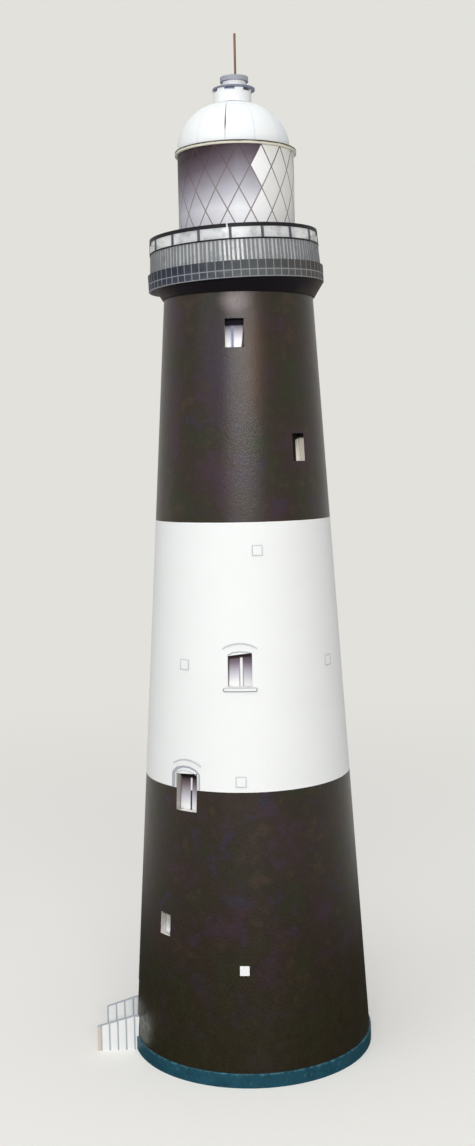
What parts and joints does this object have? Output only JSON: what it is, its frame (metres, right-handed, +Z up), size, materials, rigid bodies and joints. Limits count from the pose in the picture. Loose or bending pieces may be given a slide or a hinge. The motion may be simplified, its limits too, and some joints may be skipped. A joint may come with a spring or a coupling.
{
  "type": "card model lighthouse",
  "caption": "Card scale model of a banded round lighthouse with recessed windows, stepped entrance walls, railed gallery, lattice lantern and petal dome.",
  "frame": {"origin": "centre of the plinth's underside, on the surface the model stands on", "axes": "+Z up along the tower axis; -Y is the front, with the high and middle windows; the entrance is on the -X side"},
  "size_m": [0.0446, 0.0388, 0.1609],
  "materials": {
    "teal_board": "printed teal paper on grey board, matt",
    "black_card": "black printed card, satin, with a faint mottle",
    "white_card": "white printed card, matt",
    "window_print": "white card with printed grey glass and bars",
    "grey_trim": "grey printed paper strip, matt",
    "hatch_paper": "white paper square with a grey outline",
    "door_print": "printed dark teal door, matt",
    "flank_card": "white card printed with grey block lines",
    "deck_board": "black painted grey board, matt",
    "fascia_print": "dark grey strip printed with light panel lines",
    "clear_film": "clear film printed with grey bars",
    "rail_print": "black printed rail line, satin",
    "lantern_print": "card printed with shaded glass and a diamond lattice",
    "gutter_card": "pale card disc with a grey edge",
    "dome_card": "bluish-white card, matt",
    "vent_card": "white card, matt",
    "vent_edge": "dark grey card edge",
    "copper_wire": "dull copper-brown wire"
  },
  "bodies": {
    "root": {"corbel": "deck_board", "dome_petals": "dome_card", "door": "door_print", "door_steps": "flank_card", "foot_hatch": "hatch_paper", "foot_window_panel": "window_print", "front_flank_wall": "flank_card", "gallery_deck": "deck_board", "gallery_fascia": "fascia_print", "gutter": "gutter_card", "high_window_panel": "window_print", "joint_hatch": "hatch_paper", "joint_window_hood": "grey_trim", "joint_window_panel": "window_print", "lantern_drum": "lantern_print", "left_hatch": "hatch_paper", "lightning_rod": "copper_wire", "lower_tower": "black_card", "middle_tower": "white_card", "middle_window_hood": "grey_trim", "middle_window_panel": "window_print", "middle_window_sill": "grey_trim", "plinth": "teal_board", "railing_film": "clear_film", "railing_mid_rail": "rail_print", "railing_posts": "rail_print", "railing_top_rail": "rail_print", "rear_flank_wall": "flank_card", "rear_foot_window_panel": "window_print", "rear_high_window_panel": "window_print", "rear_middle_window_hood": "grey_trim", "rear_middle_window_panel": "window_print", "rear_middle_window_sill": "grey_trim", "right_hatch": "hatch_paper", "stair_window_panel": "window_print", "upper_hatch": "hatch_paper", "upper_tower": "black_card", "vent_cap": "vent_edge", "vent_drum": "vent_card", "vent_lid": "vent_edge", "vent_neck": "vent_card"}
  },
  "joints": []
}
